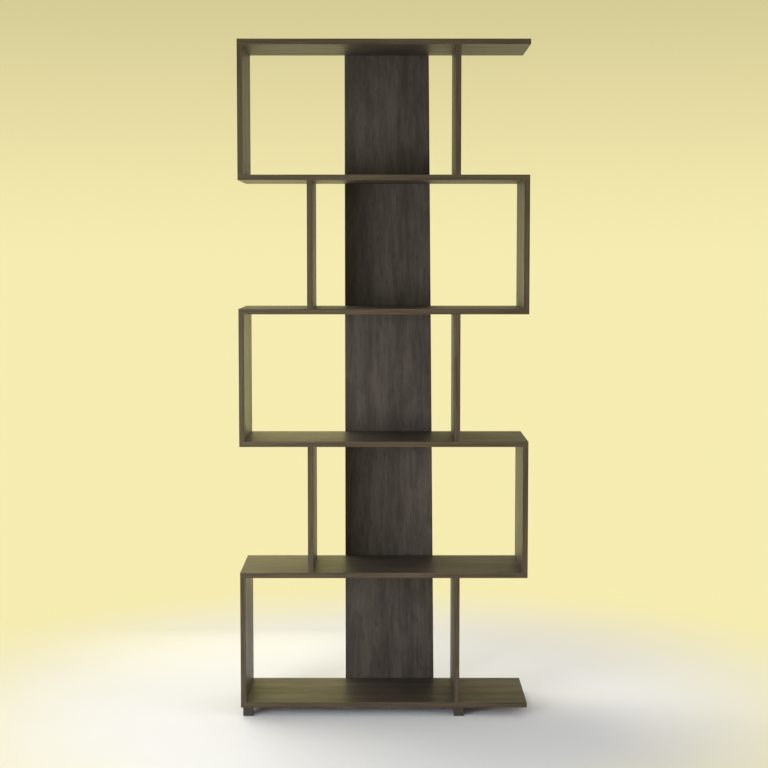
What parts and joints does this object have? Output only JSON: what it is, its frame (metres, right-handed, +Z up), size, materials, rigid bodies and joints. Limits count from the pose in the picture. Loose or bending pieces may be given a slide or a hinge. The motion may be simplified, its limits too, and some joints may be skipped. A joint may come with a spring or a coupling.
{
  "type": "geometric bookcase",
  "caption": "Tall zigzag bookcase of dark wood-grain boards: full-width shelves, outer panels at alternating ends, offset dividers, a narrow back panel and block feet.",
  "frame": {"origin": "on the floor, midway along the width and the overall depth", "axes": "+X to the right seen from the front, +Y to the back panel, +Z up"},
  "size_m": [0.8, 0.275, 1.875],
  "materials": {
    "shelf_board": "dark brown wood-grain melamine, satin, grain along the width",
    "upright_board": "dark brown wood-grain melamine, satin, grain upright",
    "edge_band": "dark brown wood-grain edge band, satin",
    "foot": "dark brown moulded plastic, matte",
    "zinc": "zinc plated, satin",
    "cap": "dark brown moulded plastic, satin",
    "dowel": "plain beech, unfinished"
  },
  "bodies": {
    "root": {"cam_discs": "zinc", "cam_bolts": "zinc", "cam_cover_caps": "cap", "wooden_dowels": "dowel", "back_panel_screws": "zinc", "foot_screws": "zinc", "tier_1_outer_panel": "upright_board", "tier_1_outer_panel_edge_bands": "edge_band", "tier_1_divider": "upright_board", "tier_1_divider_edge_bands": "edge_band", "tier_2_outer_panel": "upright_board", "tier_2_outer_panel_edge_bands": "edge_band", "tier_2_divider": "upright_board", "tier_2_divider_edge_bands": "edge_band", "tier_3_outer_panel": "upright_board", "tier_3_outer_panel_edge_bands": "edge_band", "tier_3_divider": "upright_board", "tier_3_divider_edge_bands": "edge_band", "tier_4_outer_panel": "upright_board", "tier_4_outer_panel_edge_bands": "edge_band", "tier_4_divider": "upright_board", "tier_4_divider_edge_bands": "edge_band", "tier_5_outer_panel": "upright_board", "tier_5_outer_panel_edge_bands": "edge_band", "tier_5_divider": "upright_board", "tier_5_divider_edge_bands": "edge_band", "back_panel": "upright_board", "back_panel_edge_bands": "edge_band", "front_left_foot": "foot", "front_right_foot": "foot", "rear_left_foot": "foot", "rear_right_foot": "foot", "top_board": "shelf_board", "top_board_edge_bands": "edge_band", "upper_shelf": "shelf_board", "upper_shelf_edge_bands": "edge_band", "upper_middle_shelf": "shelf_board", "upper_middle_shelf_edge_bands": "edge_band", "lower_middle_shelf": "shelf_board", "lower_middle_shelf_edge_bands": "edge_band", "lower_shelf": "shelf_board", "lower_shelf_edge_bands": "edge_band", "bottom_board": "shelf_board", "bottom_board_edge_bands": "edge_band"}
  },
  "joints": []
}
